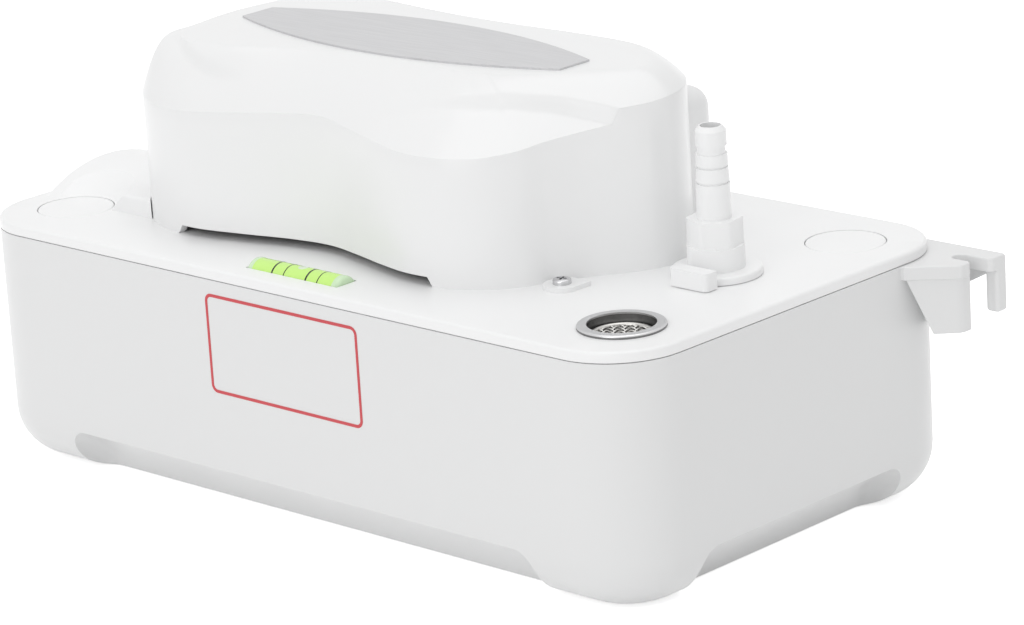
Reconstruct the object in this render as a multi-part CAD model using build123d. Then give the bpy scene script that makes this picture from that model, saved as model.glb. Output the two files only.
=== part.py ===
# Condensate pump: a water tank with a lift-off head that carries the motor, pump, floats and outlet.
# Millimetres, +Z up. The origin is under the middle of the tank, on the surface that it stands on.
# The long side with the level vial faces -Y, and the outlet and the inlet are towards +X.
from build123d import *
from math import cos, hypot, radians, sin, sqrt
import os

os.makedirs("parts", exist_ok=True)

# Play between pieces that don't touch
clearance = 0.3

# Tank
tank_length = 280.0
tank_width = 150.0
corner_radius = 23.3
wall = 2.6
rim_height = 76.2
foot_radius = 16.5
scoop_height = 15.2
scoop_depth = 15.0
foot_length_side = 40.0
foot_length_end = 29.0
scoop_end_radius = 7.0
scoop_bow = 2.2

# Hanging brackets
hanger_reach = 18.0
hanger_plate = 4.2
hanger_depth = 28.0
hanger_slot = 4.8
hanger_slot_length = 12.0
hanger_arm = 7.6
hanger_drop = 17.5
hanger_nose_inset = 3.4
hanger_nose_depth = 5.1
hanger_round = 1.8
hanger_edge = 0.5
hook_width = 4.8
hook_round = 1.2
guard_inset = 1.0
guard_drop = 17.0
guard_slope = 7.5
guard_round = 4.0
rib_thickness = 3.0
rib_drop = 9.0

# Lid
seam = 0.3
lid_plate = 3.2
lid_edge = 1.1
lip_gap = 0.35
lip_wall = 1.8
lip_height = 6.5
port_inset_x = 23.0
port_inset_y = 25.0
port_radius = 12.4
hump_end = 2.6
hump_span = 54.0
hump_front = 29.0
hump_height = 8.3
hump_end_radius = 3.0
shelf_start = 18.0
shelf_height = 6.0
shelf_front = 29.0
shelf_radius = 5.0
port_margin = 0.9
shelf_overlap = 15.0
vial_seat_wall = 1.6
vial_play = 0.15
post_radius = 4.2
guide_wall = 2.4
guide_drop = 4.0
gasket_inset = 0.9
gasket_spare = 1.3

# Level vial
vial_radius = 4.7
vial_length = 38.6
vial_inset = 11.6
vial_sink = 7.1
vial_round = 1.2
vial_cap = 2.0
vial_skin = 0.7

# Inlet and port plugs
inlet_bore = 10.1
inlet_flange = 13.0
inlet_flange_height = 1.1
inlet_depth = 9.5
strainer_thickness = 1.2
strainer_radius = 9.5
mesh_hole = 2.7
mesh_pitch = 3.7
plug_gap = 0.3
plug_thickness = 2.4
plug_skirt = 7.0
plug_wall = 1.6

# Motor cover: the margins round it on the lid, and its outline below in shares of its half length and
# half width, with the height of the crease above the lid
cover_left_margin = 47.0
cover_right_margin = 49.0
cover_front_margin = 22.0
cover_back_margin = 28.0
cover_wall = 2.4
cover_height = 58.3
cap_run_side = 22.0
cap_run_end = 12.0
cap_bands = 5
slot_height = 2.9
slot_from_left = 28.0
slot_from_right = 49.0
lobe_length = 44.0
lobe_depth = 28.0
lobe_inset_x = 15.0
lobe_inset_y = 5.0
lobe_height = 45.3
lobe_radius = 7.0
lobe_edge = 0.8
ear_radius = 5.6
ear_height = 1.4
screw_head_radius = 2.8
screw_head_height = 1.6
screw_radius = 1.5
screw_length = 7.0
ear_right_inset = 14.0
ear_front_inset = 21.5
ear_back_reach = 4.5
ear_left_inset = 29.0
ear_middle_inset = 69.0

# Name plate
plate_length = 136.0
plate_width = 40.0
plate_tip = 13.0
plate_thickness = 0.6
plate_shift = -7.0

# Cord grommet
grommet_x = -42.0
grommet_height = 13.3
grommet_radius = 6.4
grommet_neck = 5.0
grommet_bore = 3.7
grommet_flange = 1.6

# Motor
motor_x = 12.0
motor_y = -2.0
stack_lift = 12.3
stack_height = 20.0
stack_right = 22.0
stack_left = 20.0
stack_half_width = 25.0
stack_arm = 12.0
yoke_reach = 50.0
yoke_thickness = 12.0
rotor_radius = 14.8
air_gap = 0.4
coil_thickness = 6.0
coil_overhang = 5.0
bolt_x = 15.0
bolt_y = 19.5
bolt_radius = 1.7
bearing_radius = 4.2
bearing_length = 7.0
shaft_radius = 2.5
running_gap = 0.06
bracket_thickness = 2.0
post_height = 6.3
fan_radius = 25.0
fan_hub = 5.0
fan_height = 6.0
fan_blades = 7
fan_blade_width = 9.0
fan_blade_thickness = 1.3
fan_blade_tilt = 28.0
hub_wall = 2.4
bolt_head_radius = 3.0
bolt_head_height = 2.2

# Pump
column_radius = 16.5
column_wall = 2.6
column_flange = 23.0
flange_thickness = 3.0
column_foot = 28.0
casing_radius = 23.0
casing_height = 14.0
casing_wall = 2.4
impeller_radius = 17.0
impeller_blades = 6
impeller_lift = 1.2
impeller_hub_wall = 2.2
blade_height = 6.2
blade_thickness = 1.5
blade_turn = 24.0
shroud_thickness = 1.6
hub_start = 2.0
hub_height = 7.5
suction_thickness = 2.2
eye_radius = 7.0
suction_feet = 3.0
suction_foot_radius = 2.2
suction_foot_count = 6
pipe_radius = 6.6
pipe_bore = 4.6
pipe_height = 20.0
spout_length = 10.0
socket_start = 4.0
pipe_bend = 14.0
window_width = 8.0
window_height = 22.0

# Outlet
outlet_inset = 34.0
outlet_y = 4.0
spigot_radius = 10.6
spigot_gap = 0.3
collar_radius = 13.6
collar_height = 2.2
collar_lift = 0.2
neck_radius = 8.6
hex_lift = 9.3
hex_height = 8.0
hex_flats = 15.0
hex_turn = -19.7
hex_chamfer_reach = 1.11
barb_radius = 5.1
barb_tip_radius = 4.6
barb_length = 27.7
barb_tip_chamfer = 1.4
barb_groove = 0.55
barb_bore = 3.1
lug_length = 14.3
lug_depth = 5.0
lug_height = 5.4
lug_offset = -12.2
lug_start = -3.6
lug_web = 6.0
lug_round = 1.5
ball_radius = 4.4
ball_room = 5.6
seat_radius = 3.0
seat_gap = 0.05
cup_radius = 14.2
cup_depth = 11.0
collar_seat = 1.0
ring_section = 0.9
seal_proud = 0.9
bayonet_radius = 12.2
bayonet_width = 6.0
bayonet_height = 2.4
bayonet_turn = 45.0

# Floats: the run float is on the left, the alarm float on the right
pin_radius = 1.5
pivot_drop = 16.5
lever_arm = 15.0
rod_radius = 2.0
rod_gap = 0.3
rod_proud = 4.3
rod_rise = 6.0
rod_collar = 3.4
rod_collar_lift = 0.6
rod_collar_thickness = 1.2
run_pivot_x = -46.0
run_float_inset = 32.0
run_float_size = (36.0, 36.0, 22.0)
run_float_drop = 42.0
alarm_pivot_x = 30.0
alarm_pivot_inset = 13.0
alarm_float_inset = 54.0
alarm_float_size = (28.0, 26.0, 17.0)
alarm_float_drop = 23.0
arm_width = 8.0
arm_boss = 3.6
arm_pad = 3.0
arm_thickness = 2.4
pivot_lug = 2.4
pivot_lug_reach = 7.0
pivot_play = 0.4
switch_length = 20.0
switch_width = 9.0
switch_height = 15.0
terminal_pitch = 7.0
terminal_length = 4.0
switch_hole_pitch = 10.0
switch_hole = 1.3
bracket_sheet = 1.6
bracket_foot = 7.0

# Heights and places worked out from the sizes above
lid_low = rim_height + seam
lid_top = lid_low + lid_plate
half_length = tank_length / 2
half_width = tank_width / 2
port_x = half_length - port_inset_x
port_y = half_width - port_inset_y
vial_y = vial_inset - half_width
mesh_z = lid_top - inlet_depth
cover_left = cover_left_margin - half_length
cover_right = half_length - cover_right_margin
cover_front = cover_front_margin - half_width
cover_back = half_width - cover_back_margin
cover_length = cover_right - cover_left
cover_width = cover_back - cover_front
cover_x = (cover_left + cover_right) / 2
cover_y = (cover_front + cover_back) / 2
cover_top = lid_top + cover_height
lobe_right = cover_right - lobe_inset_x
lobe_back = cover_back - lobe_inset_y
lobe_top = lid_top + lobe_height
ear_points = [
    (cover_right - ear_right_inset, cover_front + ear_front_inset),
    (cover_left + ear_left_inset, cover_back + ear_back_reach),
    (cover_right - ear_middle_inset, cover_back + ear_back_reach),
]
stack_low = lid_top + stack_lift
stack_top = stack_low + stack_height
casing_low = column_foot - casing_height
outlet_x = half_length - outlet_inset
hex_low = lid_top + hex_lift
hex_high = hex_low + hex_height
barb_tip = hex_high + barb_length
float_pivot_z = lid_low - pivot_drop
rod_top = lid_top + rod_proud
run_pivot_y = motor_y
run_reach = run_pivot_x + half_length - run_float_inset
run_float_z = float_pivot_z - run_float_drop
alarm_pivot_y = cover_back - alarm_pivot_inset
alarm_reach = half_length - alarm_float_inset - alarm_pivot_x
alarm_float_z = float_pivot_z - alarm_float_drop

COVER_OUTLINE = [
    (-0.990, -0.40, 42.8), (-0.985, -0.66, 40.8), (-0.930, -0.83, 39.1), (-0.800, -0.955, 38.9),
    (-0.620, -1.000, 39.9), (-0.420, -0.930, 41.1), (-0.230, -0.845, 42.3), (-0.070, -0.815, 42.9),
    (0.080, -0.865, 41.5), (0.240, -0.940, 40.5), (0.390, -0.985, 39.3), (0.540, -0.955, 39.1),
    (0.655, -0.840, 39.5), (0.735, -0.680, 40.9), (0.780, -0.510, 42.5), (0.835, -0.330, 43.9),
    (0.905, -0.150, 46.8), (0.970, 0.040, 49.8), (0.995, 0.230, 51.3), (0.950, 0.460, 51.3),
    (0.830, 0.700, 50.3), (0.640, 0.880, 48.3), (0.340, 0.965, 46.3), (0.000, 0.970, 45.3),
    (-0.340, 0.970, 44.8), (-0.660, 0.955, 44.3), (-0.860, 0.830, 44.3), (-0.960, 0.560, 44.3),
    (-0.995, 0.200, 44.3), (-1.000, -0.110, 43.9),
]


def cylinder(x, y, low, high, radius):
    return Pos(x, y, low) * Cylinder(radius, high - low, align=(Align.CENTER, Align.CENTER, Align.MIN))


def tube(x, y, low, high, outer, inner):
    return cylinder(x, y, low, high, outer) - cylinder(x, y, low - 1, high + 1, inner)


def block(x0, x1, y0, y1, z0, z1):
    return Pos(x0, y0, z0) * Box(x1 - x0, y1 - y0, z1 - z0, align=(Align.MIN, Align.MIN, Align.MIN))


def rounded(length, width, radius, low, high):
    return Pos(0, 0, low) * extrude(RectangleRounded(length, width, radius), high - low)


def xz_slab(points, y_low, y_high):
    """A flat slab with its outline in X and Z, from y_low to y_high."""
    face = make_face(Polyline([(x, y_low, z) for x, z in points], close=True))
    return extrude(face, y_high - y_low, dir=(0, 1, 0))


def save(name, shape):
    if isinstance(shape, (list, tuple)):
        shape = Compound(children=list(shape))
    shape.label = name
    export_step(shape, "parts/" + name + ".step")


# Tank

def scoop(length, inset):
    """The roller-shaped cut along one base edge, on the -Y side of a body whose side is at Y = 0."""
    chord = hypot(scoop_height, scoop_depth)
    radius = chord ** 2 / (8 * scoop_bow) + scoop_bow / 2
    away = (radius - scoop_bow) / chord
    y = scoop_depth / 2 - scoop_height * away
    z = scoop_height / 2 - scoop_depth * away
    roller = Pos(0, y, z) * Rot(0, 90, 0) * Cylinder(radius + inset, length + 2 * inset)
    return fillet(roller.edges().filter_by(GeomType.CIRCLE), scoop_end_radius + inset)


def tank_form(inset, low, high):
    """The tank's outside, or its inside when inset is the wall."""
    form = rounded(tank_length - 2 * inset, tank_width - 2 * inset, corner_radius - inset, low, high)
    form = fillet(form.edges().group_by(Axis.Z)[0], foot_radius - inset)
    side = scoop(tank_length - 2 * foot_length_side, inset)
    end = scoop(tank_width - 2 * foot_length_end, inset)
    form -= Pos(0, -half_width, 0) * side
    form -= Pos(0, half_width, 0) * Rot(0, 0, 180) * side
    form -= Pos(-half_length, 0, 0) * Rot(0, 0, -90) * end
    form -= Pos(half_length, 0, 0) * Rot(0, 0, 90) * end
    return form


def hanger_points():
    """The corner of the plate at the tank, its nose beside the slot, and the two sides of the slot."""
    slot_back = half_width - hanger_arm
    slot_front = slot_back - hanger_slot
    corner = Vector(half_length + wall / 2, half_width - hanger_depth)
    nose = Vector(half_length + hanger_reach - hanger_nose_inset, slot_front - hanger_nose_depth)
    return corner, nose, slot_front, slot_back


def hanger_plate_form():
    """The flat top of a bracket, flush with the rim, with a slot that opens outwards."""
    corner, nose, slot_front, slot_back = hanger_points()
    root = half_length - corner_radius
    tip = half_length + hanger_reach
    low = rim_height - hanger_plate
    outline = Polyline([(root, corner.Y), (corner.X, corner.Y), (nose.X, nose.Y), (nose.X, slot_back),
                        (tip, slot_back), (tip, half_width), (root, half_width)], close=True)
    plate = Pos(0, 0, low) * extrude(make_face(outline), hanger_plate)
    slot_radius = hanger_slot / 2
    slot_end = tip - hanger_slot_length + slot_radius
    plate -= block(slot_end, tip + 1, slot_front, slot_back, low - 1, rim_height + 1)
    plate -= cylinder(slot_end, slot_front + slot_radius, low - 1, rim_height + 1, slot_radius)
    plate = fillet(plate.edges().filter_by(Axis.Z).sort_by(Axis.X)[-4:], hanger_round)
    flats = plate.faces().sort_by(Axis.Z)
    return fillet(flats[-1].edges() + flats[0].edges(), hanger_edge)


def hanger_guard():
    """The curved apron under the plate's front edge, cut away on a slope beside the tank."""
    corner, nose, slot_front, slot_back = hanger_points()
    root = half_length - corner_radius
    low = rim_height - hanger_plate
    start = corner + Vector(0, guard_inset)
    end = nose + Vector(-guard_inset, guard_inset)
    outline = Polyline([(root, start.Y), (start.X, start.Y), (end.X, end.Y), (end.X, slot_front),
                        (root, slot_front)], close=True)
    guard = Pos(0, 0, low - guard_drop) * extrude(make_face(outline), guard_drop + hanger_edge)
    bend = guard.edges().filter_by(Axis.Z).sort_by(Axis.X)[-2:].sort_by(Axis.Y)[0]
    guard = fillet(bend, guard_round)
    along = (end - start).normalized()
    side = Plane(origin=(start.X, start.Y, low), x_dir=(along.X, along.Y, 0), z_dir=(along.Y, -along.X, 0))
    under = guard_drop + 1
    slope = guard_slope * under / guard_drop
    wedge = make_face(Polyline([(-tank_width, 0), (0, 0), (slope, -under), (-tank_width, -under)], close=True))
    return guard - extrude(side * wedge, tank_width, both=True)


def hanger():
    """The right hanging bracket, before the tank's inside is cut out of it."""
    root = half_length - corner_radius
    tip = half_length + hanger_reach
    back = half_width
    low = rim_height - hanger_plate
    hook = block(tip - hook_width, tip, back - hook_width, back, rim_height - hanger_drop,
                 rim_height - hanger_edge)
    hook = fillet(hook.edges().filter_by(Axis.Z), hook_round)
    hook = fillet(hook.faces().sort_by(Axis.Z)[0].edges(), hook_round)
    web_end = tip - hook_width / 2
    web = xz_slab([(root, low + hanger_edge), (web_end, low + hanger_edge), (web_end, low - hanger_edge),
                   (half_length, low - rib_drop), (root, low - rib_drop)], back - rib_thickness, back)
    return hanger_plate_form() + hook + hanger_guard() + web


def make_tank():
    inside = tank_form(wall, wall, rim_height + 1)
    right = hanger()
    left = mirror(right, about=Plane.YZ)
    return tank_form(0, 0, rim_height) + right + left - inside


# Lid

def cover_path(offset, height):
    """A closed curve round the motor cover, offset inwards. height is a number or a rule for each point."""
    points = []
    count = len(COVER_OUTLINE)
    for i in range(count):
        u, v, rise = COVER_OUTLINE[i]
        crease = lid_top + rise
        before = COVER_OUTLINE[i - 1]
        after = COVER_OUTLINE[(i + 1) % count]
        along_x = (after[0] - before[0]) * cover_length
        along_y = (after[1] - before[1]) * cover_width
        size = hypot(along_x, along_y)
        normal_x = along_y / size
        normal_y = -along_x / size
        run = cap_run_end + (cap_run_side - cap_run_end) * normal_y ** 2
        inward = offset(run)
        x = cover_x + u * cover_length / 2 - normal_x * inward
        y = cover_y + v * cover_width / 2 - normal_y * inward
        z = height(crease) if callable(height) else height
        points.append((x, y, z))
    return Wire([Edge.make_spline([Vector(*p) for p in points], periodic=True)])


def cover_form(inset, low):
    """The motor cover's outside, or its inside when inset is its wall."""
    sections = [cover_path(lambda run: inset, low), cover_path(lambda run: inset, lambda crease: crease - inset)]
    for band in range(1, cap_bands + 1):
        turn = radians(90.0 * band / cap_bands)

        def inward(run):
            return inset + run * (1 - cos(turn))

        def height(crease):
            return crease - inset + (cover_top - crease) * sin(turn)

        sections.append(cover_path(inward, height if band < cap_bands else cover_top - inset))
    dome = Solid.make_loft(sections, ruled=True)
    lobe = block(lobe_right - lobe_length, lobe_right - inset, lobe_back - lobe_depth, lobe_back - inset,
                 low, lobe_top - inset)
    lobe = fillet(lobe.edges().filter_by(Axis.Z).sort_by(Axis.X)[-2:], lobe_radius - inset)
    lobe = fillet(lobe.faces().sort_by(Axis.Z)[-1].edges(), max(lobe_edge - inset, lobe_edge / 16))
    return Part() + dome + lobe


def make_hump():
    """The low arched moulding on the lid's left with a shelf in front, kept clear of cover and port."""
    left = hump_end - half_length
    right = cover_left + shelf_overlap
    front = hump_front - half_width
    back = front + hump_span
    base = lid_top - 1
    arch_path = [
        ThreePointArc((left, front, lid_top), (left, (front + back) / 2, lid_top + hump_height),
                      (left, back, lid_top)),
        Line((left, back, lid_top), (left, back, base)),
        Line((left, back, base), (left, front, base)),
        Line((left, front, base), (left, front, lid_top)),
    ]
    arch = extrude(make_face(arch_path), right - left, dir=(1, 0, 0))
    arch = fillet(arch.edges().filter_by(GeomType.CIRCLE).sort_by(Axis.X)[0], hump_end_radius)
    shelf = block(left + shelf_start, right, shelf_front - half_width, (front + back) / 2, base,
                  lid_top + shelf_height)
    shelf = fillet(shelf.edges().filter_by(Axis.Z).sort_by(Axis.X)[:2], 2 * shelf_radius)
    shelf = fillet(shelf.faces().sort_by(Axis.Z)[-1].edges(), shelf_radius / 4)
    hump = arch + shelf
    hump -= extrude(make_face(cover_path(lambda run: -clearance, base - 1)), cover_height)
    rim = port_radius + port_margin
    rise = 2 * hump_height
    funnel = Pos(-port_x, -port_y, lid_top) * Cone(rim, rim + rise, rise, align=(
        Align.CENTER, Align.CENTER, Align.MIN))
    return hump - funnel - cylinder(-port_x, -port_y, base - 1, lid_top, rim)


def ears_for(x, y):
    """Two lugs under the lid that hold a float's pivot pin."""
    gap = arm_width / 2 + pivot_play
    tip = pivot_lug_reach / 2
    lugs = []
    for side in (-1, 1):
        near = y + side * gap
        far = near + side * pivot_lug
        points = [(x - pivot_lug_reach, lid_low + 1), (x + pivot_lug_reach, lid_low + 1),
                  (x + tip, float_pivot_z - tip), (x - tip, float_pivot_z - tip)]
        lug = xz_slab(points, min(near, far), max(near, far))
        lugs.append(lug)
    hole = Pos(x, y, float_pivot_z) * Rot(90, 0, 0) * Cylinder(pin_radius, 4 * gap)
    return lugs[0] + lugs[1] - hole


def make_lid():
    plate = rounded(tank_length, tank_width, corner_radius, lid_low, lid_top)
    plate = fillet(plate.edges().group_by(Axis.Z)[-1], lid_edge)
    edge = wall + lip_gap
    lip = rounded(tank_length - 2 * edge, tank_width - 2 * edge, corner_radius - edge,
                  lid_low - lip_height, lid_low + 1)
    core = edge + lip_wall
    lip -= rounded(tank_length - 2 * core, tank_width - 2 * core, corner_radius - core,
                   lid_low - lip_height - 1, lid_low)
    lid = plate + lip + make_hump()
    seat = vial_radius + vial_seat_wall
    seat_half = vial_length / 2 + 2 * vial_seat_wall
    lid += block(-seat_half, seat_half, vial_y - seat, vial_y + seat,
                 lid_top - vial_sink - vial_seat_wall - 1, lid_low + 1)
    for side_x in (-1, 1):
        for side_y in (-1, 1):
            lid += cylinder(motor_x + side_x * bolt_x, motor_y + side_y * bolt_y,
                            lid_top - 1, lid_top + post_height, post_radius)
    lid += ears_for(run_pivot_x, run_pivot_y) + ears_for(alarm_pivot_x, alarm_pivot_y)
    for x, y in rod_places():
        lid += cylinder(x, y, lid_low - guide_drop, lid_low + 1, rod_radius + guide_wall)
        lid -= cylinder(x, y, lid_low - guide_drop - 1, lid_top + 1, rod_radius + running_gap)
    lid += cylinder(outlet_x, outlet_y, lid_low - collar_seat, lid_low + 1, cup_radius)
    lid -= cylinder(outlet_x, outlet_y, lid_low - 2, lid_top + 1, spigot_radius + spigot_gap)
    notch = Pos(outlet_x, outlet_y, lid_low) * Rot(0, 0, -bayonet_turn) * Box(
        2 * (bayonet_radius + clearance), bayonet_width + 2 * clearance, 4 * lid_plate)
    lid -= notch
    lid -= cylinder(motor_x, motor_y, lid_low - 1, lid_top + 1, column_radius - column_wall)
    for side_x in (-1, 1):
        for side_y in (-1, 1):
            lid -= cylinder(side_x * port_x, side_y * port_y, lid_low - lip_height - 1, lid_top + 1, port_radius)
    vial = Pos(0, vial_y, lid_top + vial_radius - vial_sink) * Rot(0, 90, 0)
    lid -= vial * Cylinder(vial_radius + vial_play, vial_length + 4 * vial_play)
    for x, y in ear_points:
        lid -= cylinder(x, y, lid_low - 1, lid_top + 1, screw_radius)
    return lid


def make_gasket():
    outer = gasket_inset
    inner = outer + wall - gasket_spare
    ring = rounded(tank_length - 2 * outer, tank_width - 2 * outer, corner_radius - outer,
                   rim_height, lid_low)
    return ring - rounded(tank_length - 2 * inner, tank_width - 2 * inner, corner_radius - inner,
                          rim_height - 1, lid_low + 1)


def make_vial():
    """The clear tube with its end caps, and the liquid that fills it."""
    place = Pos(0, vial_y, lid_top + vial_radius - vial_sink) * Rot(0, 90, 0)
    body = Cylinder(vial_radius, vial_length)
    body = fillet(body.edges(), vial_round)
    room = Cylinder(vial_radius - vial_skin, vial_length - 2 * vial_cap)
    return place * (body - room), place * room


def make_inlet():
    x = port_x
    y = -port_y
    sleeve = port_radius - 0.1
    ring = cylinder(x, y, mesh_z - strainer_thickness - 1.2, lid_top, sleeve)
    flange = cylinder(x, y, lid_top, lid_top + inlet_flange_height, inlet_flange)
    flange = fillet(flange.edges().group_by(Axis.Z)[-1], 0.6)
    ring += flange
    ring -= cylinder(x, y, mesh_z, lid_top + 5, inlet_bore)
    ring -= cylinder(x, y, mesh_z - strainer_thickness, lid_top, strainer_radius + clearance)
    ring -= cylinder(x, y, mesh_z - strainer_thickness - 3, lid_top, strainer_radius - 1.0)
    disc = cylinder(x, y, mesh_z - strainer_thickness, mesh_z, strainer_radius)
    reach = strainer_radius - 1.2
    steps = int(reach // mesh_pitch)
    for column in range(-steps, steps + 1):
        for row in range(-steps, steps + 1):
            if hypot(column * mesh_pitch, row * mesh_pitch) + mesh_hole * 0.7 < reach:
                disc -= Pos(x + column * mesh_pitch, y + row * mesh_pitch, mesh_z) * Box(
                    mesh_hole, mesh_hole, 4 * strainer_thickness)
    return ring, disc


def make_plug(x, y):
    radius = port_radius - plug_gap
    plug = cylinder(x, y, lid_top - plug_thickness, lid_top, radius)
    plug = fillet(plug.edges().group_by(Axis.Z)[-1], 0.4)
    return plug + tube(x, y, lid_top - plug_skirt, lid_top - plug_thickness, radius, radius - plug_wall)


# Motor cover

def make_cover():
    shell = cover_form(0, lid_top)
    for x, y in ear_points:
        ear = cylinder(x, y, lid_top, lid_top + ear_height, ear_radius)
        toward = cover_y + (y - cover_y) * 0.78
        ear += block(x - ear_radius, x + ear_radius, min(y, toward), max(y, toward),
                     lid_top, lid_top + ear_height)
        shell += ear
    shell -= cover_form(cover_wall, lid_top - 1)
    for x, y in ear_points:
        shell -= cylinder(x, y, lid_top - 1, lid_top + ear_height + 1, screw_radius)
    shell -= block(cover_left + slot_from_left, cover_right - slot_from_right,
                   cover_front - 5, cover_y - cover_width / 4,
                   lid_top - 1, lid_top + slot_height)
    shell -= Pos(grommet_x, cover_back, lid_top + grommet_height) * Rot(90, 0, 0) * Cylinder(grommet_neck, 24)
    return shell


def make_cover_screws():
    screws = []
    for x, y in ear_points:
        top = lid_top + ear_height
        head = fillet(cylinder(x, y, top, top + screw_head_height, screw_head_radius).edges().group_by(
            Axis.Z)[-1], 0.7)
        for turn in (0, 90):
            head -= Pos(x, y, top + screw_head_height) * Rot(0, 0, turn + 20) * Box(3.2, 0.7, 1.4)
        screws.append(head + cylinder(x, y, top - screw_length, top, screw_radius - 0.02))
    return screws


def make_grommet():
    wall_y = cover_y + cover_width / 2 * 0.97
    place = Pos(grommet_x, wall_y, lid_top + grommet_height) * Rot(-90, 0, 0)
    inner_side = -cover_wall - grommet_flange
    body = place * cylinder(0, 0, inner_side, grommet_flange, grommet_neck)
    body += place * cylinder(0, 0, 0, grommet_flange, grommet_radius)
    body += place * cylinder(0, 0, inner_side, -cover_wall, grommet_radius)
    return body - place * cylinder(0, 0, inner_side - 5, 5, grommet_bore)


def make_name_plate():
    """A boat shape with clipped tips: two long arcs between short ends."""
    half = plate_length / 2
    belly = plate_width / 2
    tip = plate_tip / 2
    top = ThreePointArc((-half, tip), (0, belly), (half, tip))
    right = Line((half, tip), (half, -tip))
    bottom = ThreePointArc((half, -tip), (0, -belly), (-half, -tip))
    left = Line((-half, -tip), (-half, tip))
    face = make_face([top, right, bottom, left])
    return Pos(cover_x + plate_shift, cover_y, cover_top) * extrude(face, plate_thickness)


# Motor

def bolt_places():
    return [(motor_x + sx * bolt_x, motor_y + sy * bolt_y) for sx in (-1, 1) for sy in (-1, 1)]


def make_stator():
    stack = block(motor_x - stack_left, motor_x + stack_right, motor_y - stack_half_width,
                  motor_y + stack_half_width, stack_low, stack_top)
    stack += block(motor_x - yoke_reach, motor_x - stack_left, motor_y - stack_half_width,
                   motor_y - stack_half_width + stack_arm, stack_low, stack_top)
    stack += block(motor_x - yoke_reach, motor_x - stack_left, motor_y + stack_half_width - stack_arm,
                   motor_y + stack_half_width, stack_low, stack_top)
    stack += block(motor_x - yoke_reach, motor_x - yoke_reach + yoke_thickness,
                   motor_y - stack_half_width, motor_y + stack_half_width, stack_low, stack_top)
    stack -= cylinder(motor_x, motor_y, stack_low - 1, stack_top + 1, rotor_radius + air_gap)
    for x, y in bolt_places():
        stack -= cylinder(x, y, stack_low - 1, stack_top + 1, bolt_radius + 0.2)
    return stack


def make_coil():
    half = stack_half_width - stack_arm - 0.4
    x0 = motor_x - yoke_reach
    x1 = x0 + yoke_thickness
    coil = block(x0 - coil_thickness, x1 + coil_thickness, motor_y - half, motor_y + half,
                 stack_low - coil_overhang, stack_top + coil_overhang)
    coil = fillet(coil.edges().filter_by(Axis.Y), 4.0)
    return coil - block(x0, x1, motor_y - 40, motor_y + 40, stack_low, stack_top)


def make_shading_rings():
    """Two copper bands let into the stack beside the rotor."""
    rings = []
    for side in (-1, 1):
        x = motor_x + side * (rotor_radius + air_gap) * 0.42
        y = motor_y + side * (stack_half_width - 3.0)
        outer = block(x - 4, x + 4, y - 1, y + 1, stack_top, stack_top + 1.6)
        rings.append(fillet(outer.edges().filter_by(Axis.Z), 0.9))
    return rings


def make_motor_bracket(low, high, plate_low):
    """A bearing bracket: a plate with a bearing hub and four legs to the stator stack."""
    plate_high = plate_low + bracket_thickness
    bracket = block(motor_x - stack_left, motor_x + stack_left, motor_y - stack_half_width,
                    motor_y + stack_half_width, plate_low, plate_high)
    bracket = fillet(bracket.edges().filter_by(Axis.Z), 5.0)
    for side in (-1, 1):
        bracket -= Pos(motor_x, motor_y + side * 15.5, plate_low) * Box(16, 7, 20)
    bracket += cylinder(motor_x, motor_y, low, high, bearing_radius + hub_wall)
    for x, y in bolt_places():
        bracket += cylinder(x, y, min(plate_low, stack_top), max(plate_high, stack_low)
                            if plate_low < stack_low else plate_high, 3.4)
    bracket -= cylinder(motor_x, motor_y, low - 1, high + 1, bearing_radius)
    for x, y in bolt_places():
        bracket -= cylinder(x, y, low - 20, high + 20, bolt_radius + 0.2)
    return bracket


def make_bolts(top):
    bolts = []
    for x, y in bolt_places():
        head = cylinder(x, y, top, top + bolt_head_height, bolt_head_radius)
        bolts.append(head + cylinder(x, y, lid_top + post_height, top, bolt_radius))
    return bolts


def make_fan(low):
    hub = cylinder(motor_x, motor_y, low, low + fan_height, fan_hub)
    for i in range(fan_blades):
        blade = Pos((fan_hub + fan_radius) / 2 - 0.5, 0, 0) * Rot(fan_blade_tilt, 0, 0) * Box(
            fan_radius - fan_hub + 1, fan_blade_width, fan_blade_thickness)
        hub += Pos(motor_x, motor_y, low + fan_height / 2) * Rot(0, 0, i * 360 / fan_blades) * blade
    return hub - cylinder(motor_x, motor_y, low - 1, low + fan_height + 1, shaft_radius)


# Pump

def make_column():
    column = tube(motor_x, motor_y, column_foot, lid_low, column_radius, column_radius - column_wall)
    column += tube(motor_x, motor_y, lid_low - flange_thickness, lid_low, column_flange,
                   column_radius - column_wall)
    column += tube(motor_x, motor_y, column_foot, column_foot + flange_thickness, casing_radius,
                   column_radius - column_wall)
    mid = (column_foot + lid_low) / 2
    for turn in (45, 135):
        column -= Pos(motor_x, motor_y, mid) * Rot(0, 0, turn) * Box(4 * column_radius, window_width,
                                                                  window_height)
    return column


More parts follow.
